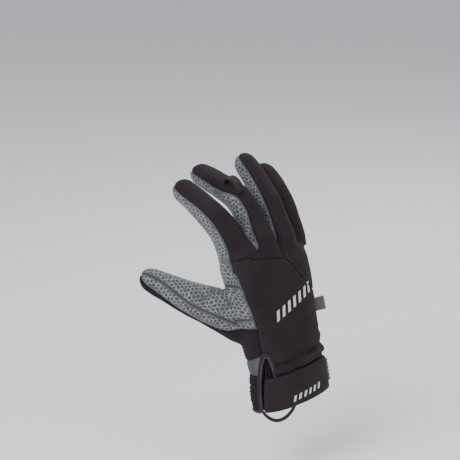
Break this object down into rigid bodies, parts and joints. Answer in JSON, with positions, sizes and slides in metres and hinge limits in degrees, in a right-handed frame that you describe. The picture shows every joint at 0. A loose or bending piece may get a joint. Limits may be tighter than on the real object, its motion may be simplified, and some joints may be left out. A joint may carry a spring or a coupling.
{
  "type": "climbing glove",
  "caption": "Full-finger climbing glove for the right hand, hung by a loop on its middle finger, with a gathered cuff, a slit with a pleated gusset and a wrist tab.",
  "frame": {"origin": "where the inside of the hanging loop on the middle finger bears on what holds the glove", "axes": "+Z from the cuff toward the fingertips, -Y out of the back of the hand, +Y out of the palm, -X toward the thumb"},
  "size_m": [0.1676, 0.1063, 0.2609],
  "materials": {
    "back_cloth": "matt woven stretch cloth, near black",
    "grip_cloth": "grey grip cloth with a faint net print",
    "soft_cloth": "matt soft dark cloth",
    "heel_leather": "matt grey suede leather",
    "cuff_cloth": "matt knitted cloth",
    "piping": "satin edging tape",
    "tab_cloth": "matt padded cloth",
    "loop_field": "matt loop cloth",
    "webbing": "matt woven tape",
    "label": "satin woven label"
  },
  "bodies": {
    "root": {"back_hand": "back_cloth", "back_fingers": "back_cloth", "back_ulnar": "back_cloth", "palm": "grip_cloth", "side_index_middle": "grip_cloth", "side_middle_ring": "grip_cloth", "side_ring_little": "grip_cloth", "thumb_pad": "grip_cloth", "thumb_band": "grip_cloth", "thumb_back": "soft_cloth", "heel_patch": "heel_leather", "cuff": "cuff_cloth", "cuff_piping": "piping", "cuff_gusset": "soft_cloth", "wrist_tab": "tab_cloth", "loop_field": "loop_field", "pull_loop": "webbing", "hang_loop": "webbing", "side_label": "label"}
  },
  "joints": []
}
